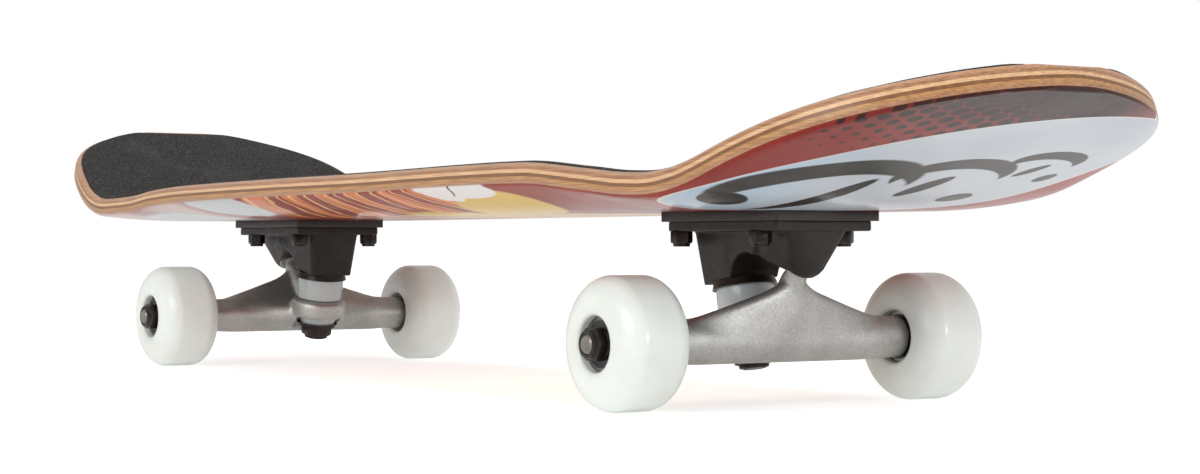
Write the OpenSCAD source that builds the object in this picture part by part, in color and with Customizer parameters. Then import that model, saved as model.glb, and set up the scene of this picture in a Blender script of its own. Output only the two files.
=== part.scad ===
// Skateboard: a seven-ply deck with two kicks, grip tape, two sprung trucks and four bearing wheels.
// The frame stands on the ground plane: +X runs from the nose to the tail, +Z is up,
// and the origin is under the middle of the board's length.

/* [Deck] */
// Full width of the deck
deck_width = 185; // [178:1:190]
// Thickness of one maple ply
ply_t = 1.4; // [1.3:0.05:1.5]
// Thickness of the grip tape
grip_t = 0.8; // [0.6:0.1:1]
// Height of the deck's underside above the ground, at the middle
deck_z = 78.1; // [77.5:0.1:80]
// Width of the flat strip down the middle
flat_width = 96; // [80:1:100]
// Rounding of the deck's upper and lower edges
edge_round = 3; // [2:0.1:3.5]

/* [Nose and tail] */
// Length of the centre line from the middle of the wheelbase to the nose's tip
nose_length = 405; // [400:1:410]
// Distance from the middle to where the nose kick starts
nose_kick_start = 277; // [270:1:285]
// Bend radius of the nose kick
nose_kick_radius = 89; // [80:1:110]
// Slope of the nose kick in degrees
nose_kick_angle = 26; // [20:1:28]
// Length of the centre line from the middle of the wheelbase to the tail's tip
tail_length = 393; // [388:1:398]
// Distance from the middle to where the tail kick starts
tail_kick_start = 250; // [244:1:255]
// Bend radius of the tail kick
tail_kick_radius = 130; // [110:1:135]
// Slope of the tail kick in degrees
tail_kick_angle = 19.3; // [17:0.1:21]

/* [Trucks] */
// Distance between the centres of the two bolt patterns
pattern_distance = 409.6; // [405:0.1:415]
// Bolt spacing along the board
bolt_dx = 53.975; // [53.975:0.001:53.975]
// Bolt spacing across the board
bolt_dy = 41.275; // [41.275:0.001:41.275]
// Distance of the axle outboard of the bolt pattern's centre
axle_x = 12.6; // [12:0.1:13.5]
// Lean of the kingpin from upright, with its top inboard
kingpin_lean = 11; // [9:0.5:12]
// Hanger length between its two wheel shoulders
hanger_length = 122.6; // [122.6:0.1:123]

/* [Wheels] */
// Wheel diameter
wheel_d = 53; // [52:0.5:54]
// Wheel width
wheel_width = 32; // [31:0.5:33]
// Width of the flat tread
tread_width = 14; // [12:0.5:16]

/* [Hidden] */
$fn = 48;

// Truck ends: the front truck is under the nose (-X), the rear truck under the tail (+X).
FRONT = -1;
REAR = 1;
// Wheel sides, seen by a rider who faces the nose.
LEFT = -1;
RIGHT = 1;
big = 200;
eps = 0.02;

ply_count = 7;
deck_t = ply_count * ply_t;
deck_top_z = deck_z + deck_t;
half_deck = deck_width / 2;
half_flat = flat_width / 2;
grip_inset = 1;
glue_t = 0.08;

// Rise of the deck's edges above its flat strip (concave), at distances from the middle.
rise_at = [0, 165, 212, 240, 290, 400];
nose_rise = [8.6, 7.4, 5.7, 3.2, 2.3, 6];
tail_rise = [8.6, 9.8, 6.3, 4, 3.3, 1.2];

// The outline keeps its full width up to here, then closes as a superellipse.
nose_round_start = 262;
tail_round_start = 243;
// Superellipse powers along and across the board.
nose_power = [3.7, 1.88];
tail_power = [4.5, 1.55];

// Distances from the middle where the deck is cut into strips, up to the end of each kick's bend.
nose_cuts = [40, 85, 125, 160, 192, 222, 250, 276, 285, 293, 301, 309, 318];
tail_cuts = [40, 85, 125, 160, 187, 210, 230, 248, 258, 268, 279, 290, 301];
// From there to the tip the cuts follow angles round the outline.
nose_tip_angles = [17, 26, 35, 43, 51, 58, 65, 71.5, 77.5, 83, 87, 89.3];
tail_tip_angles = [15, 25, 36, 44, 52, 59, 66, 72, 78, 83, 87, 89.3];
strips = [-1, -0.93, -0.82, -0.68, -0.52, 0, 0.52, 0.68, 0.82, 0.93, 1];

riser = [79.4, 51.6, 4];
riser_corner_r = 1.2;
riser_offset = 4.7;
riser_z = deck_z - riser[2];
plate = [74.4, 48, 4];
plate_corner_r = 1.5;
plate_z = riser_z - plate[2];
bolt_r = 2.45;
bolt_hole_r = 2.7;
bolt_head_r = 4.8;
bolt_head_h = 3;
bolt_nut_af = 8;
bolt_nut_h = 6.2;

axle_z = wheel_d / 2;
axle_r = 3.97;
axle_length = 187;
axle_end_chamfer = 0.8;

// Kingpin stack, as distances along the kingpin up from the axle's height.
kingpin_x = -7;
kingpin_r = 4.75;
kingpin_bore_r = 4.85;
kingpin_tip_u = -12.8;
kingpin_nut_u = -12.4;
kingpin_nut_h = 6.5;
kingpin_nut_af = 14.3;
kingpin_head_u = 40;
kingpin_head_h = 6;
seat_low_u = 4;
seat_high_u = 9.2;
boss_u = 24;
washer_t = 1.5;
washer_lip = 1.6;
bushing_gap = 0.2;
bushing_r = 12;
roadside_r = 10.4;

// Steering axis: from the middle of the hanger's seat on the kingpin to the pivot's centre.
seat_u = (seat_low_u + seat_high_u) / 2;
seat_x = kingpin_x - seat_u * sin(kingpin_lean);
seat_z = axle_z + seat_u * cos(kingpin_lean);
pivot_x = 25.5;
pivot_z = 57.5;
steer_angle = atan2(pivot_z - seat_z, pivot_x - seat_x);
// The cup and the pivot's neck stand steeper than the steering axis.
cup_angle = 62;
pivot_r = 5.2;
cup_inner_r = 5.5;
cup_outer_r = 7.2;
cup_depth = 6.8;
cup_lip = 2.6;

tube_r = 8.8;
waist_r = 9.3;
half_hanger = hanger_length / 2;
ring_r = 15.2;
ring_bottom_u = -0.5;
ring_hole_r = 7.6;

// A 608 bearing, and where the wheel sits on the axle.
bearing_r = 11;
bearing_bore_r = 4;
bearing_width = 7;
outer_land_r = 8.9;
inner_land_r = 6.1;
pitch_r = 7.5;
ball_r = 1.984;
ball_count = 7;
groove_r = 2.06;
spacer_length = 10;
washer_thickness = 1;
speed_washer_r = 5.9;
bearing_y = (spacer_length + bearing_width) / 2;
hub_half = spacer_length / 2 + bearing_width;
wheel_y = half_hanger + washer_thickness + hub_half;
axle_nut_af = 12.7;
axle_nut_h = 5.8;
axle_nut_y = wheel_y + hub_half + washer_thickness;

// ---------- Deck shape ----------

function clamp(value, low, high) = min(max(value, low), high);

// Smooth curve through values at the distances in rise_at.
function knot_slope(values, i) =
    let (a = max(i - 1, 0), b = min(i + 1, len(values) - 1))
    i == 0 ? 0 : (values[b] - values[a]) / (rise_at[b] - rise_at[a]);
function hermite(p0, p1, m0, m1, t) =
    (2 * t^3 - 3 * t^2 + 1) * p0 + (t^3 - 2 * t^2 + t) * m0 + (3 * t^2 - 2 * t^3) * p1
    + (t^3 - t^2) * m1;
function knot_below(s, i = len(rise_at) - 2) = i == 0 || s >= rise_at[i] ? i : knot_below(s, i - 1);
function smooth(values, s) =
    let (i = knot_below(s), step = rise_at[i + 1] - rise_at[i])
    hermite(values[i], values[i + 1], step * knot_slope(values, i),
            step * knot_slope(values, i + 1), (s - rise_at[i]) / step);

function edge_rise(s) = max(0, smooth(s < 0 ? nose_rise : tail_rise, min(abs(s), 400)));

function end_length(s) = s < 0 ? nose_length : tail_length;
function round_start(s) = s < 0 ? nose_round_start : tail_round_start;
function power(s) = s < 0 ? nose_power : tail_power;
function half_width(s) =
    let (u = clamp((abs(s) - round_start(s)) / (end_length(s) - round_start(s)), 0, 1))
    half_deck * pow(1 - pow(u, power(s)[0]), 1 / power(s)[1]);

function kick(s) = s < 0 ? [nose_kick_start, nose_kick_radius, nose_kick_angle]
                         : [tail_kick_start, tail_kick_radius, tail_kick_angle];
function slope(s) = let (k = kick(s)) clamp((abs(s) - k[0]) / k[1] * 180 / PI, 0, k[2]);
function straight(s) = let (k = kick(s)) max(0, abs(s) - k[0] - k[1] * k[2] * PI / 180);
function line_x(s) =
    min(abs(s), kick(s)[0]) + kick(s)[1] * sin(slope(s)) + straight(s) * cos(kick(s)[2]);
function line_z(s) = kick(s)[1] * (1 - cos(slope(s))) + straight(s) * sin(kick(s)[2]);

// The point at centre-line distance s, at the share v of the half width, h above the underside.
function deck_point(s, v, h) =
    let (y = v * half_width(s),
         curl = max(0, (abs(y) - half_flat) / (half_deck - half_flat)),
         lift = h + edge_rise(s) * curl^2,
         x = line_x(s) - lift * sin(slope(s)))
    [(s < 0 ? -x : x) + shift_x, y, deck_z + line_z(s) + lift * cos(slope(s))];

// The board's box runs from the nose's tip to the tail's tip, and the origin is at its middle.
shift_x = (line_x(-nose_length) - line_x(tail_length)) / 2;

function tip_cut(s_end, a) =
    round_start(s_end) + (end_length(s_end) - round_start(s_end)) * pow(sin(a), 2 / power(s_end)[0]);
nose_stations = concat(nose_cuts, [for (a = nose_tip_angles) tip_cut(-1, a)]);
tail_stations = concat(tail_cuts, [for (a = tail_tip_angles) tip_cut(1, a)]);
stations = concat([for (i = [len(nose_stations) - 1 : -1 : 0]) -nose_stations[i]], [0], tail_stations);

// How far the rounded edge draws in at height h of a stack of thickness deck_t.
function edge_inset(h) =
    let (d = max(edge_round - h, edge_round - (deck_t - h), 0))
    edge_round - sqrt(edge_round^2 - min(d, edge_round - 0.05)^2);

function layer_points(h, inset) = [
    for (s = stations, v = strips)
        let (p = deck_point(s * (end_length(s) - inset) / end_length(s), v, h))
        [p[0], p[1] * (half_deck - inset) / half_deck, p[2]]
];

// A closed sheet between heights h0 and h1, with its outline drawn in at each.
module deck_layer(h0, h1, inset0, inset1) {
    rows = len(stations);
    cols = len(strips);
    top = rows * cols;
    points = concat(layer_points(h0, inset0), layer_points(h1, inset1));
    faces = concat(
        [for (i = [0 : rows - 2], j = [0 : cols - 2]) let (a = i * cols + j)
            each [[a, a + cols, a + cols + 1], [a, a + cols + 1, a + 1]]],
        [for (i = [0 : rows - 2], j = [0 : cols - 2]) let (a = top + i * cols + j)
            each [[a, a + cols + 1, a + cols], [a, a + 1, a + cols + 1]]],
        [for (i = [0 : rows - 2]) let (a = i * cols, b = top + i * cols)
            each [[a, b + cols, a + cols], [a, b, b + cols]]],
        [for (i = [0 : rows - 2]) let (a = i * cols + cols - 1, b = top + i * cols + cols - 1)
            each [[a, a + cols, b + cols], [a, b + cols, b]]],
        [for (j = [0 : cols - 2]) each [[j, j + 1, top + j + 1], [j, top + j + 1, top + j]]],
        [for (j = [0 : cols - 2]) let (a = (rows - 1) * cols + j, b = top + a)
            each [[a, b + 1, a + 1], [a, b, b + 1]]]);
    polyhedron(points = points, faces = faces, convexity = 6);
}

// ---------- Placing helpers ----------

module at_truck(end) {
    translate([end * pattern_distance / 2 + shift_x, 0, 0])
        rotate([0, 0, end == REAR ? 0 : 180])
            children();
}

module at_bolts() {
    for (x = [-1, 1], y = [-1, 1])
        translate([x * bolt_dx / 2, y * bolt_dy / 2, 0])
            children();
}

module on_kingpin() {
    translate([kingpin_x, 0, axle_z])
        rotate([0, -kingpin_lean, 0])
            children();
}

// Z of the child runs up the pivot cup, from the pivot's centre on the steering axis.
module on_pivot() {
    translate([pivot_x, 0, pivot_z])
        rotate([0, 90 - cup_angle, 0])
            children();
}

// Z of the child runs outwards along the axle, from the truck's middle.
module on_axle(side) {
    translate([axle_x, 0, axle_z])
        rotate([-side * 90, 0, 0])
            children();
}

// A child drawn once for each end of the axle, with Z outwards from the wheel's centre.
module at_both_wheels() {
    for (side = [LEFT, RIGHT])
        on_axle(side)
            translate([0, 0, wheel_y])
                children();
}

// One wheel's child: the wheel side is given for a rider who faces the nose.
module at_wheel(end, side) {
    at_truck(end)
        on_axle(end * side)
            translate([0, 0, wheel_y])
                children();
}

module at_bearings() {
    for (z = [-bearing_y, bearing_y])
        translate([0, 0, z])
            children();
}

module tube(outer_r, inner_r, h) {
    difference() {
        cylinder(h = h, r = outer_r);
        translate([0, 0, -1])
            cylinder(h = h + 2, r = inner_r);
    }
}

module hex_prism(across_flats, h) {
    cylinder(h = h, r = across_flats / sqrt(3), $fn = 6);
}

// A hex nut with its corners turned down, a collar on top and a bore.
module lock_nut(across_flats, h, bore_r, collar_h) {
    hex_h = h - collar_h;
    corner_r = across_flats / sqrt(3);
    collar_r = across_flats * 0.46;
    difference() {
        union() {
            intersection() {
                hex_prism(across_flats, hex_h);
                translate([0, 0, -corner_r * 0.5])
                    cylinder(h = hex_h + corner_r * 0.5, r1 = corner_r * 1.45, r2 = corner_r * 0.93);
            }
            translate([0, 0, hex_h])
                cylinder(h = collar_h, r1 = collar_r, r2 = collar_r * 0.92);
        }
        translate([0, 0, -1])
            cylinder(h = h + 2, r = bore_r);
    }
}

module rounded_box(x0, x1, half_y, r, h) {
    hull()
        for (x = [x0 + r, x1 - r], y = [-half_y + r, half_y - r])
            translate([x, y, 0])
                cylinder(h = h, r = r, $fn = 32);
}

// ---------- Deck ----------

module bolt_cuts() {
    for (end = [FRONT, REAR])
        at_truck(end)
            at_bolts() {
                translate([0, 0, deck_z - 5])
                    cylinder(h = deck_t + 10, r = bolt_hole_r);
                translate([0, 0, deck_top_z + grip_t - bolt_head_h])
                    cylinder(h = bolt_head_h, r1 = bolt_r, r2 = bolt_head_r);
            }
}

module ply(number) {
    h0 = (number - 1) * ply_t;
    h1 = number * ply_t;
    difference() {
        deck_layer(h0, h1, edge_inset(h0), edge_inset(h1));
        bolt_cuts();
    }
}

module grip_tape() {
    color([0.09, 0.09, 0.1])
        difference() {
            deck_layer(deck_t + glue_t, deck_t + grip_t, edge_inset(deck_t) + grip_inset,
                       edge_inset(deck_t) + grip_inset);
            bolt_cuts();
        }
}

module ply_7() { color([0.84, 0.62, 0.45]) ply(7); }
module ply_6() { color([0.76, 0.57, 0.42]) ply(6); }
module ply_5() { color([0.93, 0.8, 0.6]) ply(5); }
module ply_4() { color([0.66, 0.46, 0.24]) ply(4); }
module ply_3() { color([0.86, 0.68, 0.46]) ply(3); }
module ply_2() { color([0.78, 0.57, 0.44]) ply(2); }
module ply_1() { color([0.55, 0.1, 0.09]) ply(1); }

// ---------- Truck parts fixed to the deck ----------

module riser_pad(end) {
    color([0.1, 0.09, 0.09])
        at_truck(end)
            difference() {
                translate([riser_offset, 0, riser_z])
                    rounded_box(-riser[0] / 2, riser[0] / 2, riser[1] / 2, riser_corner_r, riser[2]);
                at_bolts()
                    translate([0, 0, riser_z - 1])
                        cylinder(h = riser[2] + 2, r = bolt_hole_r);
            }
}

// The block under the plate: a kingpin boss inboard and a narrower pivot housing outboard.
module baseplate_body() {
    boss_low_z = 48;
    hull() {
        translate([0, 0, plate_z])
            rounded_box(-28, 17, 14.2, 2.5, 0.5);
        translate([0, 0, boss_low_z])
            rounded_box(-25, 8, 11.6, 2.5, 0.5);
    }
    hull() {
        translate([0, 0, plate_z])
            rounded_box(5, 40, 14.5, 5, 0.5);
        translate([28.6, 0, 60.4])
            sphere(r = 9.5, $fn = 24);
        translate([9, -11, 60])
            cube([4, 22, 1]);
    }
}

// The arch between the boss and the housing, as a side view: steep inboard, sloping outboard.
arch_low_z = 40;
arch_side = [[-5, 50], [-3.8, 54.5], [-1.6, 57.8], [2.2, 60.9], [7, 61.8], [13, 60.3], [18.5, 57.4],
             [24, 55]];

module baseplate_arch() {
    rotate([90, 0, 0])
        linear_extrude(height = big, center = true)
            polygon(concat([[arch_side[0][0] - 0.5, arch_low_z]], arch_side, [[24, arch_low_z]]));
}

module baseplate(end) {
    color([0.12, 0.11, 0.105])
        at_truck(end)
            difference() {
                union() {
                    translate([riser_offset, 0, plate_z])
                        rounded_box(-plate[0] / 2, plate[0] / 2, plate[1] / 2, plate_corner_r, plate[2]);
                    baseplate_body();
                }
                baseplate_arch();
                // The boss ends square to the kingpin.
                on_kingpin()
                    translate([-big / 2, -big / 2, boss_u - 40])
                        cube([big / 2 + 14, big, 40]);
                on_kingpin() {
                    cylinder(h = big, r = kingpin_bore_r);
                    translate([0, 0, kingpin_head_u])
                        cylinder(h = 30, r = kingpin_nut_af / sqrt(3) + 0.4);
                }
                on_pivot()
                    translate([0, 0, -20])
                        cylinder(h = 20 + cup_depth, r = cup_outer_r);
                at_bolts()
                    translate([0, 0, plate_z - 1])
                        cylinder(h = plate[2] + 2, r = bolt_hole_r);
            }
}

// A thimble with a round seat for the pivot's ball and a mouth that flares for its neck.
module pivot_cup(end) {
    mouth_r = cup_inner_r + 0.9;
    color([0.85, 0.84, 0.8])
        at_truck(end)
            on_pivot()
                rotate_extrude()
                    polygon(concat(
                        [[cup_outer_r, -cup_lip], [cup_outer_r, cup_depth], [0, cup_depth],
                         [0, cup_inner_r]],
                        [for (a = [80 : -10 : 0]) [cup_inner_r * cos(a), cup_inner_r * sin(a)]],
                        [[mouth_r, -cup_lip]]));
}

module kingpin(end) {
    color([0.2, 0.2, 0.21])
        at_truck(end)
            on_kingpin() {
                translate([0, 0, kingpin_tip_u])
                    cylinder(h = kingpin_head_u - kingpin_tip_u, r = kingpin_r);
                translate([0, 0, kingpin_head_u])
                    hex_prism(kingpin_nut_af, kingpin_head_h);
            }
}

module kingpin_nut(end) {
    color([0.08, 0.08, 0.085])
        at_truck(end)
            on_kingpin()
                translate([0, 0, kingpin_nut_u + kingpin_nut_h])
                    mirror([0, 0, 1])
                        lock_nut(kingpin_nut_af, kingpin_nut_h, kingpin_r, 1.6);
}

boardside_top_u = boss_u - washer_t;
roadside_low_u = kingpin_nut_u + kingpin_nut_h + washer_t;

// A barrel with softly turned ends.
module bushing(low_r, high_r, low_u, high_u) {
    edge = 0.8;
    rotate_extrude()
        polygon([
            [kingpin_bore_r, low_u], [low_r - edge, low_u], [low_r, low_u + edge],
            [high_r, high_u - edge], [high_r - edge, high_u], [kingpin_bore_r, high_u]
        ]);
}

module boardside_bushing(end) {
    color([0.87, 0.87, 0.84])
        at_truck(end)
            on_kingpin()
                bushing(bushing_r, bushing_r, seat_high_u + bushing_gap, boardside_top_u);
}

module roadside_bushing(end) {
    color([0.87, 0.87, 0.84])
        at_truck(end)
            on_kingpin()
                bushing(roadside_r - 1, roadside_r, roadside_low_u, seat_low_u - bushing_gap);
}

// A dished washer whose lip turns over the bushing; z 0 is its flat back.
module cup_washer(outer_r, lip) {
    rotate_extrude()
        polygon([
            [kingpin_bore_r, 0], [outer_r, 0], [outer_r + 0.9, lip + washer_t],
            [outer_r - 0.1, lip + washer_t], [outer_r - 0.6, washer_t], [kingpin_bore_r, washer_t]
        ]);
}

module cup_washers(end) {
    color([0.1, 0.095, 0.09])
        at_truck(end)
            on_kingpin() {
                translate([0, 0, boss_u])
                    mirror([0, 0, 1])
                        cup_washer(bushing_r + 0.7, washer_lip);
                translate([0, 0, roadside_low_u - washer_t])
                    cup_washer(roadside_r - 0.3, washer_lip - 1.2);
            }
}

module truck_bolts(end) {
    head_top = deck_top_z + grip_t;
    low = plate_z - bolt_nut_h;
    color([0.1, 0.1, 0.105])
        at_truck(end)
            at_bolts()
                difference() {
                    union() {
                        translate([0, 0, low])
                            cylinder(h = head_top - bolt_head_h - low + eps, r = bolt_r);
                        translate([0, 0, head_top - bolt_head_h])
                            cylinder(h = bolt_head_h, r1 = bolt_r, r2 = bolt_head_r);
                    }
                    // Cross recess for the driver
                    for (turn = [0, 90])
                        translate([0, 0, head_top])
                            rotate([0, 0, turn])
                                cube([5, 1, 2.6], center = true);
                }
}

module truck_nuts(end) {
    color([0.09, 0.09, 0.095])
        at_truck(end)
            at_bolts()
                translate([0, 0, plate_z])
                    mirror([0, 0, 1])
                        lock_nut(bolt_nut_af, bolt_nut_h, bolt_r, 1.4);
}

// ---------- Hanger and axle ----------

// Height of the web's upper edge above the axle, at the distance y from the middle.
function web_top(y) =
    6.7 + 17 * pow(max(0, 1 - abs(y) / 55), 1.1) + 4.5 * pow(max(0, 1 - abs(y) / 14), 2);
// How far the arms reach inboard of the axle, at the distance y from the middle.
function arm_reach(y) = waist_r + 18 * pow(max(0, 1 - abs(y) / 42), 1.7);
// The axle's tube swells a little towards the middle.
function tube_radius(y) = tube_r + (waist_r - tube_r) * clamp((52 - abs(y)) / 10, 0, 1);

// Rounded edges of the web and the arms, with the directions they lie in from the axle.
web_turn = 67.5;
web_edge_r = 3.3;
arm_turn = 178;
arm_edge_r = 5.4;
valley_r = 4;
loft_half = [4, 8, 12, 16, 22, 28, 34, 40, 46, 52, hanger_length / 2];
loft_y = concat([for (i = [len(loft_half) - 1 : -1 : 0]) -loft_half[i]], [0], loft_half);

function polar(r, turn) = [r * cos(turn), r * sin(turn)];
function arc_points(centre, r, from, to, sides) =
    [for (i = [0 : sides]) centre + polar(r, from + (to - from) * i / sides)];

// Outline of the casting, as [x, z] from the axle: the web's edge, the valley behind the web,
// the arm's edge, and the tube round underneath. Flats tangent to the tube lie between them.
function hanger_outline(y) =
    let (tube = tube_radius(y),
         web_d = max((web_top(y) - web_edge_r) / sin(web_turn), tube - web_edge_r + 0.1),
         arm_d = max(arm_reach(y) - arm_edge_r, tube - arm_edge_r + 0.1),
         web_spread = acos((tube - web_edge_r) / web_d),
         arm_spread = acos((tube - arm_edge_r) / arm_d),
         inboard = web_turn + web_spread,
         upper = arm_turn - arm_spread,
         hollow = inboard > upper,
         valley = hollow ? (tube + valley_r) / cos((inboard - upper) / 2) : 0)
    concat(
        arc_points(polar(web_d, web_turn), web_edge_r, web_turn - web_spread, inboard, 8),
        arc_points(polar(valley, (inboard + upper) / 2), hollow ? -valley_r : tube, inboard, upper, 4),
        arc_points(polar(arm_d, arm_turn), arm_edge_r, upper, arm_turn + arm_spread, 6),
        arc_points([0, 0], tube, arm_turn + arm_spread, 360 + web_turn - web_spread, 18));

// A casting lofted along Y through outlines that all have the same number of points.
module loft_along_y(outlines) {
    n = len(outlines[0]);
    last = len(outlines) - 1;
    points = [for (i = [0 : last], q = outlines[i]) [q[0], loft_y[i], q[1]]];
    sides = [for (i = [0 : last - 1], j = [0 : n - 1])
        let (a = i * n + j, b = i * n + (j + 1) % n)
        each [[a, b, a + n], [b, b + n, a + n]]];
    near_cap = [[for (j = [n - 1 : -1 : 0]) j]];
    far_cap = [[for (j = [0 : n - 1]) last * n + j]];
    polyhedron(points = points, faces = concat(sides, near_cap, far_cap), convexity = 6);
}

// The ring round the kingpin, with rounded rims.
module kingpin_ring() {
    rim = 2.5;
    on_kingpin()
        rotate_extrude()
            polygon(concat(
                [[0, ring_bottom_u]],
                [for (a = [-90 : 30 : 0]) [ring_r + rim * (cos(a) - 1), ring_bottom_u + rim * (1 + sin(a))]],
                [for (a = [0 : 30 : 90]) [ring_r + rim * (cos(a) - 1), seat_high_u - rim * (1 - sin(a))]],
                [[0, seat_high_u]]));
}

// The pivot: a ball on a neck that grows out of the web.
module hanger_pivot() {
    on_pivot() {
        sphere(r = pivot_r);
        rotate_extrude()
            polygon([[0, 0], [4, -3], [4.6, -4.5], [4.9, -7], [5.2, -10], [5, -15], [3.5, -20], [0, -21]]);
    }
}

module hanger(end) {
    color([0.6, 0.6, 0.6])
        at_truck(end)
            difference() {
                union() {
                    translate([axle_x, 0, axle_z])
                        loft_along_y([for (y = loft_y) hanger_outline(y)]);
                    hanger_pivot();
                    kingpin_ring();
                }
                // Bore for the axle that the casting is poured round
                on_axle(RIGHT)
                    translate([0, 0, -big / 2])
                        cylinder(h = big, r = axle_r);
                on_kingpin() {
                    translate([0, 0, ring_bottom_u - 1])
                        cylinder(h = big / 2, r = ring_hole_r);
                    // Seats: the boardside bushing's room above, the roadside bushing's below
                    translate([0, 0, seat_high_u])
                        cylinder(h = 13, r = bushing_r + 2.2);
                    translate([0, 0, seat_low_u - 20])
                        cylinder(h = 20, r = roadside_r + 2.8);
                }
            }
}

module axle(end) {
    color([0.75, 0.75, 0.76])
        at_truck(end)
            on_axle(RIGHT) {
                for (turn = [0, 180])
                    rotate([turn, 0, 0])
                        translate([0, 0, -eps])
                            cylinder(h = axle_length / 2 - axle_end_chamfer + eps, r = axle_r);
                for (turn = [0, 180])
                    rotate([turn, 0, 0])
                        translate([0, 0, axle_length / 2 - axle_end_chamfer])
                            cylinder(h = axle_end_chamfer, r1 = axle_r, r2 = axle_r - axle_end_chamfer);
            }
}

module axle_nuts(end) {
    color([0.13, 0.12, 0.12])
        at_truck(end)
            for (side = [LEFT, RIGHT])
                on_axle(side)
                    translate([0, 0, axle_nut_y])
                        lock_nut(axle_nut_af, axle_nut_h, axle_r, 1.8);
}

module speed_washers(end) {
    color([0.7, 0.7, 0.7])
        at_truck(end)
            at_both_wheels()
                for (z = [-hub_half - washer_thickness, hub_half])
                    translate([0, 0, z])
                        tube(speed_washer_r, bearing_bore_r, washer_thickness);
}

// ---------- Bearings and wheels ----------

module bearing_groove() {
    rotate_extrude()
        translate([pitch_r, 0])
            circle(r = groove_r);
}

module inner_ring() {
    difference() {
        translate([0, 0, -bearing_width / 2])
            tube(inner_land_r, bearing_bore_r, bearing_width);
        bearing_groove();
    }
}

shield_t = 0.5;
shield_inset = 0.2;
shield_outer_r = 9.4;
shield_inner_r = 6.4;

module outer_ring() {
    difference() {
        translate([0, 0, -bearing_width / 2])
            tube(bearing_r, outer_land_r, bearing_width);
        bearing_groove();
        for (turn = [0, 180])
            rotate([turn, 0, 0])
                translate([0, 0, bearing_width / 2 - shield_t - shield_inset])
                    cylinder(h = 2, r = shield_outer_r);
    }
}

module bearing_inner_rings(end) {
    color([0.72, 0.72, 0.73])
        at_truck(end)
            at_both_wheels()
                at_bearings()
                    inner_ring();
}

module bearing_spacers(end) {
    color([0.7, 0.7, 0.72])
        at_truck(end)
            at_both_wheels()
                translate([0, 0, -spacer_length / 2])
                    tube(5.2, bearing_bore_r + 0.1, spacer_length);
}

module outer_rings(end, side) {
    color([0.72, 0.72, 0.73])
        at_wheel(end, side)
            at_bearings()
                outer_ring();
}

module shields(end, side) {
    color([0.2, 0.2, 0.21])
        at_wheel(end, side)
            at_bearings()
                for (z = [-bearing_width / 2 + shield_inset, bearing_width / 2 - shield_inset - shield_t])
                    translate([0, 0, z])
                        tube(shield_outer_r, shield_inner_r, shield_t);
}

module balls(end, side) {
    color([0.8, 0.8, 0.82])
        at_wheel(end, side)
            at_bearings()
                for (i = [0 : ball_count - 1])
                    rotate([0, 0, i * 360 / ball_count])
                        translate([pitch_r, 0, 0])
                            sphere(r = ball_r);
}

module cages(end, side) {
    cage_h = 5;
    pocket_r = ball_r + 0.1;
    color([0.85, 0.8, 0.6])
        at_wheel(end, side)
            at_bearings()
                difference() {
                    translate([0, 0, -cage_h / 2])
                        tube(8.1, 6.9, cage_h);
                    for (i = [0 : ball_count - 1])
                        rotate([0, 0, i * 360 / ball_count])
                            rotate([0, 90, 0])
                                cylinder(h = bearing_r, r = pocket_r);
                }
}

// Half of the wheel's side: the shoulder as a superellipse quarter, then the flat face and the bore's lip.
face_r = 16.5;
shoulder_power = 1.8;
lip_r = 12.4;
lip_depth = 1.2;
core_r = 8.4;

function shoulder(a) =
    let (x = pow(cos(a), 2 / shoulder_power), y = pow(sin(a), 2 / shoulder_power))
    [face_r + (wheel_d / 2 - face_r) * x,
     tread_width / 2 + (wheel_width - tread_width) / 2 * y];

wheel_half_profile = concat(
    [for (a = [0 : 10 : 90]) shoulder(a)],
    [[lip_r, wheel_width / 2 - 0.2], [bearing_r + 0.4, wheel_width / 2 - 0.6],
     [bearing_r, wheel_width / 2 - lip_depth], [bearing_r, spacer_length / 2],
     [core_r, spacer_length / 2]]);

module wheel(end, side) {
    n = len(wheel_half_profile);
    color([0.93, 0.93, 0.9])
        at_wheel(end, side)
            rotate_extrude()
                polygon(concat(
                    wheel_half_profile,
                    [for (i = [n - 1 : -1 : 0]) [wheel_half_profile[i][0], -wheel_half_profile[i][1]]]));
}

grip_tape();
ply_7();
ply_6();
ply_5();
ply_4();
ply_3();
ply_2();
ply_1();
riser_pad(FRONT);  // front_riser_pad
baseplate(FRONT);  // front_baseplate
pivot_cup(FRONT);  // front_pivot_cup
kingpin(FRONT);  // front_kingpin
kingpin_nut(FRONT);  // front_kingpin_nut
boardside_bushing(FRONT);  // front_boardside_bushing
roadside_bushing(FRONT);  // front_roadside_bushing
cup_washers(FRONT);  // front_cup_washers
truck_bolts(FRONT);  // front_truck_bolts
truck_nuts(FRONT);  // front_truck_nuts
hanger(FRONT);  // front_hanger
axle(FRONT);  // front_axle
axle_nuts(FRONT);  // front_axle_nuts
speed_washers(FRONT);  // front_speed_washers
bearing_inner_rings(FRONT);  // front_bearing_inner_rings
bearing_spacers(FRONT);  // front_bearing_spacers
riser_pad(REAR);  // rear_riser_pad
baseplate(REAR);  // rear_baseplate
pivot_cup(REAR);  // rear_pivot_cup
kingpin(REAR);  // rear_kingpin
kingpin_nut(REAR);  // rear_kingpin_nut
boardside_bushing(REAR);  // rear_boardside_bushing
roadside_bushing(REAR);  // rear_roadside_bushing
cup_washers(REAR);  // rear_cup_washers
truck_bolts(REAR);  // rear_truck_bolts
truck_nuts(REAR);  // rear_truck_nuts
hanger(REAR);  // rear_hanger
axle(REAR);  // rear_axle
axle_nuts(REAR);  // rear_axle_nuts
speed_washers(REAR);  // rear_speed_washers
bearing_inner_rings(REAR);  // rear_bearing_inner_rings
bearing_spacers(REAR);  // rear_bearing_spacers
wheel(FRONT, LEFT);  // front_left_wheel
outer_rings(FRONT, LEFT);  // front_left_outer_rings
shields(FRONT, LEFT);  // front_left_shields
balls(FRONT, LEFT);  // front_left_balls
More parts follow.
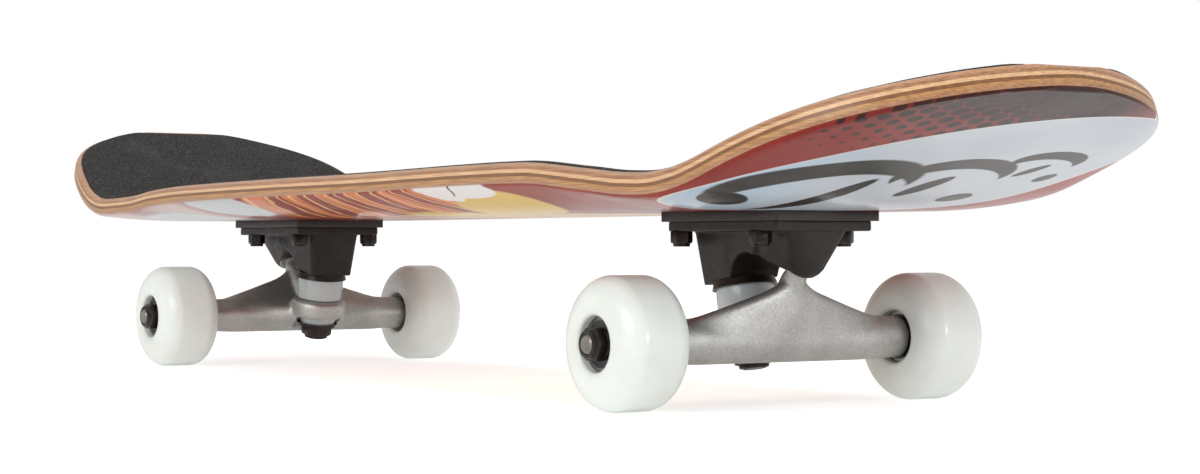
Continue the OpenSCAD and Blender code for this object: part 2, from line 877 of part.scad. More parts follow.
cages(FRONT, LEFT);  // front_left_cages
wheel(FRONT, RIGHT);  // front_right_wheel
outer_rings(FRONT, RIGHT);  // front_right_outer_rings
shields(FRONT, RIGHT);  // front_right_shields
balls(FRONT, RIGHT);  // front_right_balls
cages(FRONT, RIGHT);  // front_right_cages
wheel(REAR, LEFT);  // rear_left_wheel
outer_rings(REAR, LEFT);  // rear_left_outer_rings
shields(REAR, LEFT);  // rear_left_shields
balls(REAR, LEFT);  // rear_left_balls
cages(REAR, LEFT);  // rear_left_cages
wheel(REAR, RIGHT);  // rear_right_wheel
outer_rings(REAR, RIGHT);  // rear_right_outer_rings
shields(REAR, RIGHT);  // rear_right_shields
balls(REAR, RIGHT);  // rear_right_balls
cages(REAR, RIGHT);  // rear_right_cages
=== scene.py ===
import math
import random

import bmesh
import bpy
import numpy as np
from mathutils import Matrix, Vector


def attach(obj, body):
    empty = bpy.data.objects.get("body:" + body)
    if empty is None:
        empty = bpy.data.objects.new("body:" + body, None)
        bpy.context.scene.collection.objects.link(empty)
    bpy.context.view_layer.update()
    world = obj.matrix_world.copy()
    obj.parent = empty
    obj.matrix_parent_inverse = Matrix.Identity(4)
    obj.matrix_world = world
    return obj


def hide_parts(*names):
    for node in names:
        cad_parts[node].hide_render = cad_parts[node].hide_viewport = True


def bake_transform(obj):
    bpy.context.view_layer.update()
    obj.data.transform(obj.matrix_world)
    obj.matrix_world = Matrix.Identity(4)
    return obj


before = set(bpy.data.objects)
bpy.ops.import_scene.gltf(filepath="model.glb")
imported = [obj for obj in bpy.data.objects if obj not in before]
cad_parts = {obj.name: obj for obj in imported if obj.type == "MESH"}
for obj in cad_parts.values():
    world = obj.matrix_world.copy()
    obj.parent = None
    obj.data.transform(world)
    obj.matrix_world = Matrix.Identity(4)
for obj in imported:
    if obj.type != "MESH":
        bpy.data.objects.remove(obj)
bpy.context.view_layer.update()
MM = 0.001
random.seed(7)
ENDS = {"front": -1, "rear": 1}
SIDES = {"left": -1, "right": 1}


# ---------- Colours and shader graphs ----------

def rgb(r, g, b):
    """Linear colour with alpha from 0-255 display values."""
    def lin(v):
        v /= 255
        return v / 12.92 if v <= 0.04045 else ((v + 0.055) / 1.055) ** 2.4
    return (lin(r), lin(g), lin(b), 1.0)


class Graph:
    """A material's node graph, with short calls that return sockets."""

    def __init__(self, name):
        self.mat = bpy.data.materials.new(name)
        self.mat.use_nodes = True
        self.tree = self.mat.node_tree
        self.tree.nodes.clear()
        out = self.tree.nodes.new("ShaderNodeOutputMaterial")
        self.bsdf = self.tree.nodes.new("ShaderNodeBsdfPrincipled")
        self.tree.links.new(self.bsdf.outputs[0], out.inputs["Surface"])
        coords = self.tree.nodes.new("ShaderNodeTexCoord")
        self.place = coords.outputs["Object"]
        self.uv = coords.outputs["UV"]

    def put(self, socket, value):
        if isinstance(value, bpy.types.NodeSocket):
            self.tree.links.new(value, socket)
        else:
            socket.default_value = value

    def shade(self, **values):
        for key, value in values.items():
            self.put(self.bsdf.inputs[key.replace("_", " ")], value)

    def math(self, op, a, b=0.0, c=0.0):
        n = self.tree.nodes.new("ShaderNodeMath")
        n.operation = op
        for socket, value in zip(n.inputs, (a, b, c)):
            self.put(socket, value)
        return n.outputs[0]

    def add(self, a, b):
        return self.math("ADD", a, b)

    def sub(self, a, b):
        return self.math("SUBTRACT", a, b)

    def mul(self, a, b):
        return self.math("MULTIPLY", a, b)

    def step(self, x, low, high, out_low=0.0, out_high=1.0):
        """Smooth change from out_low to out_high as x goes from low to high."""
        n = self.tree.nodes.new("ShaderNodeMapRange")
        n.interpolation_type = "SMOOTHSTEP"
        for key, value in (("Value", x), ("From Min", low), ("From Max", high),
                           ("To Min", out_low), ("To Max", out_high)):
            self.put(n.inputs[key], value)
        return n.outputs[0]

    def mix(self, fac, a, b):
        n = self.tree.nodes.new("ShaderNodeMix")
        n.data_type = "RGBA"
        self.put(n.inputs["Factor"], fac)
        self.put(n.inputs["A"], a)
        self.put(n.inputs["B"], b)
        return n.outputs["Result"]

    def stretched(self, vector, scale):
        n = self.tree.nodes.new("ShaderNodeMapping")
        self.put(n.inputs["Vector"], vector)
        n.inputs["Scale"].default_value = scale
        return n.outputs[0]

    def noise(self, scale, detail=3.0, rough=0.5, vector=None):
        n = self.tree.nodes.new("ShaderNodeTexNoise")
        self.put(n.inputs["Vector"], vector or self.place)
        n.inputs["Scale"].default_value = scale
        n.inputs["Detail"].default_value = detail
        n.inputs["Roughness"].default_value = rough
        return n.outputs["Fac"]

    def cells(self, scale, vector=None, output="Color"):
        n = self.tree.nodes.new("ShaderNodeTexVoronoi")
        self.put(n.inputs["Vector"], vector or self.place)
        n.inputs["Scale"].default_value = scale
        return n.outputs[output]

    def split(self, vector):
        n = self.tree.nodes.new("ShaderNodeSeparateXYZ")
        self.put(n.inputs[0], vector)
        return n.outputs

    def bump(self, height, strength, distance, normal=None):
        n = self.tree.nodes.new("ShaderNodeBump")
        self.put(n.inputs["Height"], height)
        n.inputs["Strength"].default_value = strength
        n.inputs["Distance"].default_value = distance
        if normal:
            self.put(n.inputs["Normal"], normal)
        return n.outputs[0]

    def edges(self, radius, low, high):
        """1 on worn edges: how far a rounded normal turns away from the true one."""
        bevel = self.tree.nodes.new("ShaderNodeBevel")
        bevel.samples = 4
        bevel.inputs["Radius"].default_value = radius
        geometry = self.tree.nodes.new("ShaderNodeNewGeometry")
        dot = self.tree.nodes.new("ShaderNodeVectorMath")
        dot.operation = "DOT_PRODUCT"
        self.put(dot.inputs[0], bevel.outputs[0])
        self.put(dot.inputs[1], geometry.outputs["Normal"])
        return self.step(dot.outputs["Value"], high, low)


def grip_material():
    """Silicon carbide grit on black paper."""
    g = Graph("grip_grit")
    grains = g.split(g.cells(1500))[0]
    coarse = g.noise(2600, 2, 0.7)
    patches = g.noise(26, 3, 0.6)
    base = g.mix(g.step(grains, 0.3, 1.0), rgb(24, 22, 21), rgb(62, 59, 56))
    # Painted glints: sparse pale grey points where the grit would catch the light
    sparkle = g.mul(g.step(g.split(g.cells(1900))[1], 0.9, 0.98), 0.4)
    base = g.mix(sparkle, base, rgb(130, 128, 126))
    dusty = g.mul(g.step(patches, 0.5, 0.85), 0.25)
    g.shade(Base_Color=g.mix(dusty, base, rgb(104, 101, 98)),
            Roughness=g.step(coarse, 0.2, 0.9, 0.62, 0.9), Specular_IOR_Level=0.35,
            Normal=g.bump(grains, 0.9, 0.00035, g.bump(coarse, 0.6, 0.0003)))
    return g.mat


def ply_material(name, light, dark):
    """Maple edge grain: fine fibres along the board, darker where the cutter burned it."""
    g = Graph(name)
    fibres = g.noise(1.0, 5, 0.62, g.stretched(g.place, (60, 420, 1900)))
    pores = g.noise(1.0, 3, 0.7, g.stretched(g.place, (500, 900, 3800)))
    blotch = g.noise(22, 4, 0.6)
    tone = g.mix(g.step(fibres, 0.32, 0.7), dark, light)
    tone = g.mix(g.mul(g.step(pores, 0.62, 0.78), 0.25), tone, rgb(118, 78, 48))
    tone = g.mix(g.mul(g.step(blotch, 0.5, 0.75), 0.2), tone, dark)
    g.shade(Base_Color=tone, Roughness=g.step(fibres, 0.2, 0.8, 0.34, 0.56),
            Coat_Weight=0.35, Coat_Roughness=0.25,
            Normal=g.bump(fibres, 0.35, 0.0002, g.bump(pores, 0.25, 0.0001)))
    return g.mat


def art_material():
    """The printed underside: a generic design of a pale lens, crescents, halftone dots and rays."""
    g = Graph("painted_underside")
    uv = g.split(g.uv)
    s = g.mul(uv[0], 1000.0)
    y = g.mul(uv[1], 1000.0)

    def radius(cs, cy, a, b, turn):
        """Distance from an ellipse's centre, 1 on its outline, in board millimetres."""
        c, d = math.cos(math.radians(turn)), math.sin(math.radians(turn))
        u, v = g.sub(s, cs), g.sub(y, cy)
        p = g.mul(g.add(g.mul(u, c), g.mul(v, d)), 1 / a)
        q = g.mul(g.sub(g.mul(v, c), g.mul(u, d)), 1 / b)
        return g.math("SQRT", g.add(g.mul(p, p), g.mul(q, q)))

    def ellipse(cs, cy, a, b, turn=0.0, soft=0.02):
        return g.step(radius(cs, cy, a, b, turn), 1 + soft, 1 - soft)

    def both(a, b):
        return g.mul(a, b)

    def less(a, b):
        return g.mul(a, g.sub(1.0, b))

    def either(a, b):
        return g.math("MAXIMUM", a, b)

    def crescent(cs, cy, r, width, turn):
        """An ellipse with a second one taken out of it, like a thin moon."""
        dx, dy = math.cos(math.radians(turn)), math.sin(math.radians(turn))
        outer = ellipse(cs, cy, r * 0.62, r, turn, 0.03)
        inner = ellipse(cs - dx * width, cy - dy * width, r * 0.56, r * 0.9, turn, 0.03)
        return less(outer, inner)

    # Ground: red at both ends, warm rays in the middle, washed out along the far side
    wobble = g.noise(9, 3, 0.6)
    red = g.mix(g.step(wobble, 0.3, 0.7), rgb(122, 22, 14), rgb(148, 38, 24))
    deep = g.mix(g.step(s, 330, 392), red, rgb(96, 32, 26))
    ground = deep

    # Rays fanning out of a point off the near edge
    ds, dy = g.sub(s, 20.0), g.sub(y, -210.0)
    turn = g.math("ARCTAN2", ds, dy)
    swing = g.add(g.mul(turn, 26.0), g.mul(g.noise(30, 2, 0.5), 3.5))
    ray = g.step(g.math("SINE", swing), 0.05, 0.5)
    middle = both(g.step(s, -118, -90), g.step(s, 150, 120))
    warm = g.mix(ray, rgb(140, 36, 18), rgb(214, 122, 66))
    ground = g.mix(middle, ground, warm)
    fine = g.step(g.math("SINE", g.mul(swing, 2.7)), 0.72, 0.95)
    ground = g.mix(both(g.mul(fine, 0.8), middle), ground, rgb(250, 196, 120))

    # Rounded clouds: yellow towards the tail, pale blue and white towards the nose
    yellow = either(ellipse(118, -66, 40, 21, -12, 0.05), ellipse(70, -30, 66, 26, 20, 0.06))
    ground = g.mix(yellow, ground, rgb(226, 194, 92))
    cream = ellipse(60, 20, 120, 52, 4, 0.25)
    ground = g.mix(g.mul(cream, 0.85), ground, rgb(226, 200, 158))
    white = either(ellipse(108, -90, 31, 9, 4, 0.06), ellipse(92, -86, 13, 7, 20, 0.06))
    ground = g.mix(white, ground, rgb(238, 240, 240))
    vein = less(ellipse(104, -92, 4.2, 9, 30, 0.1), ellipse(102.6, -92, 4, 9, 30, 0.1))
    ground = g.mix(both(vein, white), ground, rgb(52, 46, 44))
    drift = g.add(s, g.mul(g.noise(14, 3, 0.5), 40.0))
    haze = both(g.step(drift, -130, -170), g.step(s, -402, -330))
    pinkish = g.mix(g.step(g.noise(20, 3, 0.6), 0.35, 0.65), rgb(206, 184, 178), rgb(176, 138, 130))
    ground = g.mix(haze, ground, pinkish)
    sky = either(ellipse(-135, -84, 34, 20, 10, 0.08), ellipse(-212, -60, 44, 20, 16, 0.12))
    ground = g.mix(g.mul(sky, 0.9), ground, rgb(202, 214, 216))

    # The pale lens under the tail, with its light rim
    reach = radius(306.5, -0.2, 98, 51, 60)
    lens = g.step(reach, 1.006, 0.994)
    rim = g.step(reach, 1.018, 1.008)
    cool = g.mix(g.step(g.noise(16, 3, 0.5), 0.3, 0.7), rgb(190, 197, 204), rgb(206, 211, 216))
    lens_tone = g.mix(g.step(y, -30, -78), cool, rgb(176, 198, 214))

    # Halftone dots that grow towards the tip and away from the lens until they nearly run together
    pitch = 8.0

    def lattice(shift):
        """Distance to the nearest dot of a rectangular lattice; two of them make rows of hexagons."""
        a = g.sub(g.math("FRACT", g.add(g.mul(s, 1 / pitch), shift)), 0.5)
        b = g.sub(g.math("FRACT", g.add(g.mul(y, 1 / (pitch * 1.732)), shift)), 0.5)
        b = g.mul(b, 1.732)
        return g.mul(g.math("SQRT", g.add(g.mul(a, a), g.mul(b, b))), pitch)
    near = g.math("MINIMUM", lattice(0.0), lattice(0.5))
    along = g.add(g.mul(s, 0.547), g.mul(y, 0.837))
    grow = g.step(g.add(along, g.mul(g.sub(reach, 1.0), 60.0)), 96, 236, -0.5, 4.2)
    dots = g.step(g.sub(near, grow), 0.25, -0.25)
    upper = g.step(y, 10, -14)
    tail_zone = both(g.step(s, 222, 240), either(upper, g.step(s, 345, 356)))
    ground = g.mix(both(dots, tail_zone), ground, rgb(42, 20, 17))
    low_pink = both(g.step(y, 30, 62), g.step(s, 222, 240))
    ground = g.mix(g.mul(low_pink, 0.6), ground, rgb(168, 84, 72))
    ground = g.mix(rim, ground, rgb(222, 216, 210))
    ground = g.mix(lens, ground, lens_tone)

    # Crescents, leaves and drops inside the lens
    marks = either(crescent(296, -42, 43, 13, -22), ellipse(276, -70, 9, 12, 30, 0.06))
    marks = either(marks, either(ellipse(279, -32, 30, 5.5, 24, 0.05), crescent(312, 12, 27, 9, -8)))
    marks = either(marks, either(ellipse(299, 8, 13, 4.2, 30, 0.06), ellipse(287, 33, 5, 7.5, -30, 0.06)))
    marks = either(marks, either(crescent(327, 47, 18, 7, 0), ellipse(318, 46, 8, 2.6, 36, 0.06)))
    marks = either(marks, ellipse(310, 60, 3.6, 5.2, -40, 0.08))
    ink = g.mix(g.step(y, -40, 30), rgb(38, 33, 31), rgb(78, 76, 73))
    ground = g.mix(both(marks, lens), ground, ink)

    edge = g.edges(0.0012, 0.93, 0.985)
    ground = g.mix(g.mul(edge, 0.35), ground, rgb(122, 62, 44))
    peel = g.noise(90, 2, 0.5)
    g.shade(Base_Color=ground, Roughness=g.step(g.noise(60, 3, 0.6), 0.3, 0.8, 0.3, 0.38),
            Specular_IOR_Level=0.12, Coat_Weight=0.3, Coat_Roughness=0.1, Coat_IOR=1.42,
            Normal=g.bump(peel, 0.02, 0.0002))
    return g.mat


def plastic_material(name, dark, light, rough, grain):
    g = Graph(name)
    fine = g.noise(grain, 3, 0.6)
    cloud = g.noise(45, 3, 0.6)
    tone = g.mix(g.step(cloud, 0.3, 0.75), dark, light)
    tone = g.mix(g.mul(g.edges(0.0006, 0.9, 0.99), 0.35), tone, rgb(92, 84, 78))
    g.shade(Base_Color=tone, Roughness=g.step(fine, 0.25, 0.8, rough - 0.07, rough + 0.08),
            Specular_IOR_Level=0.42, Normal=g.bump(fine, 0.35, 0.00012))
    return g.mat


def powder_coat_material():
    g = Graph("powder_coated_casting")
    orange_peel = g.noise(700, 3, 0.6)
    lumps = g.noise(170, 3, 0.6)
    cloud = g.noise(38, 3, 0.6)
    tone = g.mix(g.step(cloud, 0.3, 0.75), rgb(30, 25, 22), rgb(46, 39, 35))
    tone = g.mix(g.mul(g.edges(0.0009, 0.86, 0.98), 0.4), tone, rgb(104, 94, 86))
    g.shade(Base_Color=tone, Roughness=g.step(lumps, 0.2, 0.8, 0.38, 0.54), Specular_IOR_Level=0.34,
            Normal=g.bump(orange_peel, 0.5, 0.0002, g.bump(lumps, 0.45, 0.0004)))
    return g.mat


def cast_material():
    """Sand-cast aluminium: a grainy skin, painted glints for its sparkle, and darker brownish patches at
    random.
    """
    g = Graph("sand_cast_aluminium")
    sand = g.noise(1700, 3, 0.6)
    pits = g.cells(1500, output="Distance")
    lumps = g.noise(210, 4, 0.6)
    cloud = g.noise(40, 4, 0.6)
    tone = g.mix(g.step(cloud, 0.3, 0.72), rgb(178, 177, 173), rgb(198, 197, 193))
    tone = g.mix(g.mul(g.step(sand, 0.5, 0.72), 0.5), tone, rgb(126, 123, 118))
    tone = g.mix(g.mul(g.step(lumps, 0.56, 0.74), 0.2), tone, rgb(126, 120, 112))
    # Painted glints: near-white points standing for the sparkle of the cast skin
    spark = g.step(g.split(g.cells(2600))[0], 0.88, 0.97)
    tone = g.mix(g.mul(spark, 0.42), tone, rgb(226, 226, 224))
    g.shade(Base_Color=tone, Metallic=0.85, Roughness=g.step(sand, 0.25, 0.8, 0.36, 0.56),
            Normal=g.bump(sand, 0.5, 0.00018, g.bump(lumps, 0.35, 0.0004, g.bump(pits, 0.2, 0.00012))))
    return g.mat


def steel_material(name, base, worn, rough, metallic=1.0):
    g = Graph(name)
    fine = g.noise(900, 3, 0.6)
    streak = g.noise(1.0, 3, 0.6, g.stretched(g.place, (300, 1500, 300)))
    stain = g.noise(90, 4, 0.65)
    tone = g.mix(g.mul(g.step(stain, 0.45, 0.7), 0.5), base, worn)
    tone = g.mix(g.mul(g.edges(0.0004, 0.86, 0.98), 0.5), tone, rgb(150, 144, 138))
    g.shade(Base_Color=tone, Metallic=metallic,
            Roughness=g.step(streak, 0.25, 0.8, rough - 0.1, rough + 0.1),
            Normal=g.bump(fine, 0.25, 0.0001, g.bump(stain, 0.2, 0.0002)))
    return g.mat


def urethane_material(name, light, shade, rough, radius, weight):
    """Cast urethane: faintly translucent, satin, with a trace of dust and scuffs."""
    g = Graph(name)
    cloud = g.noise(28, 4, 0.55)
    scuff = g.noise(60, 3, 0.5)
    grain = g.noise(420, 3, 0.5)
    # light and shade are the urethane's lit tone and its shaded tone, mixed by random cloud noise: painted
    # light and shade
    tone = g.mix(g.step(cloud, 0.35, 0.75), light, shade)
    tone = g.mix(g.mul(g.step(scuff, 0.5, 0.8), 0.1), tone, rgb(196, 192, 180))
    g.shade(Base_Color=tone, Roughness=g.step(grain, 0.2, 0.8, rough - 0.05, rough + 0.06),
            Specular_IOR_Level=0.5, Subsurface_Weight=weight, Subsurface_Scale=radius,
            Subsurface_Radius=(1.0, 0.85, 0.62))
    return g.mat


MATS = {
    "grip": grip_material(),
    # The top ply: its own tan, made lighter by painted light from above on its rounded edge
    "maple_top": ply_material("maple_top_ply", rgb(204, 158, 122), rgb(172, 124, 90)),
    "maple_cream": ply_material("maple_cream_ply", rgb(236, 194, 150), rgb(206, 158, 112)),
    "maple_gold": ply_material("maple_gold_ply", rgb(200, 150, 96), rgb(164, 114, 64)),
    "maple_amber": ply_material("maple_amber_ply", rgb(146, 98, 54), rgb(116, 72, 34)),
    "maple_tan": ply_material("maple_tan_ply", rgb(186, 140, 102), rgb(150, 102, 66)),
    "painted_ply": art_material(),
    "riser_plastic": plastic_material("riser_plastic", rgb(38, 33, 30), rgb(54, 47, 43), 0.5, 500),
    "black_casting": powder_coat_material(),
    "nylon": plastic_material("nylon_ivory", rgb(196, 192, 182), rgb(222, 219, 210), 0.45, 300),
    "black_steel": steel_material("black_oxide_steel", rgb(44, 39, 36), rgb(76, 66, 58), 0.36, 0.7),
    # Bushing: a lit tone and a painted shade tone
    "bushing_urethane": urethane_material("bushing_urethane", rgb(204, 212, 214), rgb(190, 198, 198),
                                          0.14, 0.004, 0.4),
    "cast_hanger": cast_material(),
    "axle_steel": steel_material("zinc_steel", rgb(142, 138, 132), rgb(98, 92, 86), 0.36),
    "bearing_steel": steel_material("bearing_steel", rgb(140, 137, 132), rgb(112, 108, 102), 0.28),
    "shield_black": plastic_material("shield_black", rgb(34, 33, 34), rgb(52, 50, 50), 0.38, 600),
    # Wheel: a lit tone and a painted shade tone
    "wheel_urethane": urethane_material("wheel_urethane", rgb(239, 244, 239), rgb(231, 235, 227),
                                        0.22, 0.003, 0.12),
}


# ---------- Mesh helpers ----------

def to_mesh(name, points, faces, uv=None):
    mesh = bpy.data.meshes.new(name)
    mesh.from_pydata([tuple(p) for p in np.asarray(points, float) * MM], [], faces)
    mesh.update()
    if uv is not None:
        layer = mesh.uv_layers.new(name="board")
        index = np.empty(len(mesh.loops), np.int64)
        mesh.loops.foreach_get("vertex_index", index)
        layer.data.foreach_set("uv", (np.asarray(uv, float) * MM)[index].astype(np.float32).ravel())
    return mesh


def smooth_shade(mesh, angle=None):
    """Smooth shading, split where faces meet at more than the angle."""
    mesh.shade_smooth()
    if angle is not None:
        mesh.set_sharp_from_angle(angle=math.radians(angle))


def outward(mesh):
    bm = bmesh.new()
    bm.from_mesh(mesh)
    bmesh.ops.recalc_face_normals(bm, faces=bm.faces)
    bm.to_mesh(mesh)
    bm.free()


def place_piece(name, mesh, slot, body, *nodes):
    """Puts a finished mesh in the scene for the CAD nodes it stands for."""
    obj = bpy.data.objects.new(name, mesh)
    bpy.context.scene.collection.objects.link(obj)
    mesh.materials.clear()
    mesh.materials.append(MATS[slot])
    if body:
        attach(obj, body)
    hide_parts(*nodes)
    return obj


def applied(mesh, modifiers):
    """The mesh after a list of (type, settings) modifiers."""
    obj = bpy.data.objects.new("work", mesh)
    bpy.context.scene.collection.objects.link(obj)
    for kind, settings in modifiers:
        mod = obj.modifiers.new(kind.lower(), kind)
        for key, value in settings.items():
            setattr(mod, key, value)
    evaluated = obj.evaluated_get(bpy.context.evaluated_depsgraph_get())
    out = bpy.data.meshes.new_from_object(evaluated)
    bpy.data.objects.remove(obj)
    return out


def welded(node):
    """A copy of a CAD node's mesh with its split corners joined."""
    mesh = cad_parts[node].data.copy()
    bm = bmesh.new()
    bm.from_mesh(mesh)
    bmesh.ops.remove_doubles(bm, verts=bm.verts, dist=0.002 * MM)
    bmesh.ops.dissolve_limit(bm, angle_limit=math.radians(1), verts=bm.verts, edges=bm.edges)
    bm.to_mesh(mesh)
    bm.free()
    return mesh


def cast_copy(node, voxel, rounds):
    """A CAD node remade as a casting: every edge and hollow softly rounded."""
    mesh = applied(welded(node), [
        ("REMESH", {"mode": "VOXEL", "voxel_size": voxel * MM}),
        ("SMOOTH", {"factor": 0.5, "iterations": rounds})])
    smooth_shade(mesh)
    return mesh


def bevelled_copy(node, width, segments=2):
    """A CAD node with its sharp edges broken by a small bevel."""
    mesh = applied(welded(node), [
        ("BEVEL", {"width": width * MM, "segments": segments, "limit_method": "ANGLE",
                   "angle_limit": math.radians(28), "harden_normals": True})])
    smooth_shade(mesh, 35)
    return mesh


def lathe(profile, turns=128):
    """A closed (radius, height) profile turned round Z, in millimetres."""
    n = len(profile)
    points, faces = [], []
    for i in range(turns):
        a = 2 * math.pi * i / turns
        points += [(r * math.cos(a), r * math.sin(a), z) for r, z in profile]
    for i in range(turns):
        for j in range(n):
            a, b = i * n + j, i * n + (j + 1) % n
            c, d = ((i + 1) % turns) * n + (j + 1) % n, ((i + 1) % turns) * n + j
            faces.append((a, d, c, b))
    return points, faces


# ---------- The part's own sizes ----------

# Millimetres. In the pairs, -1 is the nose and 1 the tail.
PLY_COUNT, PLY_T, GRIP_T, DECK_Z = 7, 1.4, 0.8, 78.1
DECK_T = PLY_COUNT * PLY_T
HALF_DECK, HALF_FLAT, EDGE_ROUND = 92.5, 48.0, 3.0
# How far the rim rises above the middle of the deck, at these distances along the board
RISE_AT = [0, 165, 212, 240, 290, 400]
RISE = {-1: [8.6, 7.4, 5.7, 3.2, 2.3, 6], 1: [8.6, 9.8, 6.3, 4, 3.3, 1.2]}
LENGTH = {-1: 405.0, 1: 393.0}
ROUND_START = {-1: 262.0, 1: 243.0}
OUTLINE_POWER = {-1: (3.7, 1.88), 1: (4.5, 1.55)}
# Start, bend radius and angle
KICK = {-1: (277.0, 89.0, 26.0), 1: (250.0, 130.0, 19.3)}
PATTERN = 409.6 / 2
BOLTS_ALONG, BOLTS_ACROSS = 53.975 / 2, 41.275 / 2
BOLT_HOLE_R, BOLT_HEAD_R = 2.7, 4.9
AXLE_X, AXLE_Z = 12.6, 26.5
KINGPIN_X, LEAN = -7.0, math.radians(11)
HALF_HANGER, WASHER_T, HALF_WHEEL_CORE = 61.3, 1, 12
WHEEL_Y = HALF_HANGER + WASHER_T + HALF_WHEEL_CORE


def kick_line(s):
    """Place along X, height and slope of the deck's underside at s millimetres from the middle."""
    side = -1 if s < 0 else 1
    start, radius, angle = KICK[side]
    slope = min(max((abs(s) - start) / radius, 0), math.radians(angle))
    straight = max(0, abs(s) - start - radius * math.radians(angle))
    x = min(abs(s), start) + radius * math.sin(slope) + straight * math.cos(math.radians(angle))
    z = radius * (1 - math.cos(slope)) + straight * math.sin(math.radians(angle))
    return x, z, slope


SHIFT_X = (kick_line(-LENGTH[-1])[0] - kick_line(LENGTH[1])[0]) / 2


def edge_rise(s):
    """The rim's rise at s: a smooth curve through the values of RISE."""
    values, d = RISE[-1 if s < 0 else 1], min(abs(s), 400)
    i = max(k for k in range(len(RISE_AT) - 1) if d >= RISE_AT[k])

    def slope(k):
        a, b = max(k - 1, 0), min(k + 1, len(RISE_AT) - 1)
        return 0 if k == 0 else (values[b] - values[a]) / (RISE_AT[b] - RISE_AT[a])
    step = RISE_AT[i + 1] - RISE_AT[i]
    t = (d - RISE_AT[i]) / step
    return max(0, (2 * t**3 - 3 * t**2 + 1) * values[i] + (t**3 - 2 * t**2 + t) * step * slope(i)
               + (3 * t**2 - 2 * t**3) * values[i + 1] + (t**3 - t**2) * step * slope(i + 1))


def half_width(s):
    """Half the deck's width: straight sides, then a superellipse round each tip."""
    side = -1 if s < 0 else 1
    u = min(max((abs(s) - ROUND_START[side]) / (LENGTH[side] - ROUND_START[side]), 0), 1)
    along, across = OUTLINE_POWER[side]
    return HALF_DECK * (1 - u**along) ** (1 / across)


def deck_point(s, v, h):
    """A point of the deck: s along it, v across it from -1 to 1, h above its underside."""
    y = v * half_width(s)
    curl = max(0, (abs(y) - HALF_FLAT) / (HALF_DECK - HALF_FLAT))
    lift = h + edge_rise(s) * curl**2
    x, z, slope = kick_line(s)
    x -= lift * math.sin(slope)
    return [(-x if s < 0 else x) + SHIFT_X, y, DECK_Z + z + lift * math.cos(slope)]


def edge_inset(h):
    """How far the rounded rim stands in at height h."""
    d = max(EDGE_ROUND - h, EDGE_ROUND - (DECK_T - h), 0)
    return EDGE_ROUND - math.sqrt(EDGE_ROUND**2 - min(d, EDGE_ROUND - 0.05) ** 2)


def stations(step, tip_count):
    """Even steps along the board, then even angles round each tip."""
    halves = {}
    for side in (-1, 1):
        start, length = ROUND_START[side], LENGTH[side]
        along = OUTLINE_POWER[side][0]
        first = math.asin(((length - 75 - start) / (length - start)) ** (along / 2))
        tip = [start + (length - start) * math.sin(a) ** (2 / along)
               for a in np.linspace(first, math.radians(89.8), tip_count)]
        halves[side] = [side * float(d) for d in list(np.arange(step, length - 76, step)) + tip]
    return halves[-1][::-1] + [0.0] + halves[1]


def shares(count):
    """Places across the deck from -1 to 1, closer together near the rim."""
    return [math.sin(math.pi / 2 * (-1 + 2 * i / count)) * 0.35 + (-1 + 2 * i / count) * 0.65
            for i in range(count + 1)]


def deck_sheet(name, levels, rows, cols, ragged=0.0):
    """A closed sheet through (height, inset) levels from the bottom up, with its outline rounded."""
    S, V = stations(*rows), shares(cols)
    n, m = len(S), len(V)
    wander = {}
    if ragged:
        noise = random.Random(11)
        for edge in (0, m - 1):
            drift = 0.0
            for i in range(n):
                drift = drift * 0.72 + noise.uniform(-1, 1) * ragged
                wander[(i, edge)] = drift

    def grid_point(i, j, h, inset):
        inset += wander.get((i, j), 0.0)
        s, side = S[i], -1 if S[i] < 0 else 1
        p = deck_point(s * (LENGTH[side] - inset) / LENGTH[side], V[j], h)
        return [p[0], p[1] * (HALF_DECK - inset) / HALF_DECK, p[2]]
    points, uv, faces = [], [], []

    def grid(h, inset):
        base = len(points)
        for i in range(n):
            for j in range(m):
                points.append(grid_point(i, j, h, inset))
                uv.append((S[i], points[-1][1]))
        return base
    rim = ([(0, j) for j in range(m)] + [(i, m - 1) for i in range(1, n)]
           + [(n - 1, j) for j in range(m - 2, -1, -1)] + [(i, 0) for i in range(n - 2, 0, -1)])
    low = grid(*levels[0])
    loops = [[low + i * m + j for i, j in rim]]
    for h, inset in levels[1:-1]:
        loops.append(list(range(len(points), len(points) + len(rim))))
        for i, j in rim:
            points.append(grid_point(i, j, h, inset))
            uv.append((S[i], points[-1][1]))
    top = grid(*levels[-1])
    loops.append([top + i * m + j for i, j in rim])
    for i in range(n - 1):
        for j in range(m - 1):
            a = i * m + j
            faces.append((low + a, low + a + 1, low + a + m + 1, low + a + m))
            faces.append((top + a, top + a + m, top + a + m + 1, top + a + 1))
    for lower, upper in zip(loops, loops[1:]):
        for k in range(len(rim)):
            q = (k + 1) % len(rim)
            faces.append((lower[k], upper[k], upper[q], lower[q]))
    mesh = to_mesh(name, points, faces, uv)
    outward(mesh)
    return mesh


def drilled(mesh, radius):
    """The eight truck bolt holes, cut right through."""
    bm = bmesh.new()
    for end in (-1, 1):
        for x in (-1, 1):
            for y in (-1, 1):
                along = end * PATTERN + SHIFT_X + x * BOLTS_ALONG
                centre = Vector((along, y * BOLTS_ACROSS, DECK_Z + DECK_T / 2))
                bmesh.ops.create_cone(bm, cap_ends=True, segments=40, radius1=radius * MM,
                                      radius2=radius * MM, depth=0.05, matrix=Matrix.Translation(centre * MM))
    cutter_mesh = bpy.data.meshes.new("drill")
    bm.to_mesh(cutter_mesh)
    bm.free()
    cutter = bpy.data.objects.new("drill", cutter_mesh)
    bpy.context.scene.collection.objects.link(cutter)
    out = applied(mesh, [("BOOLEAN", {"operation": "DIFFERENCE", "object": cutter, "solver": "EXACT"})])
    bpy.data.objects.remove(cutter)
    return out


# ---------- Deck ----------

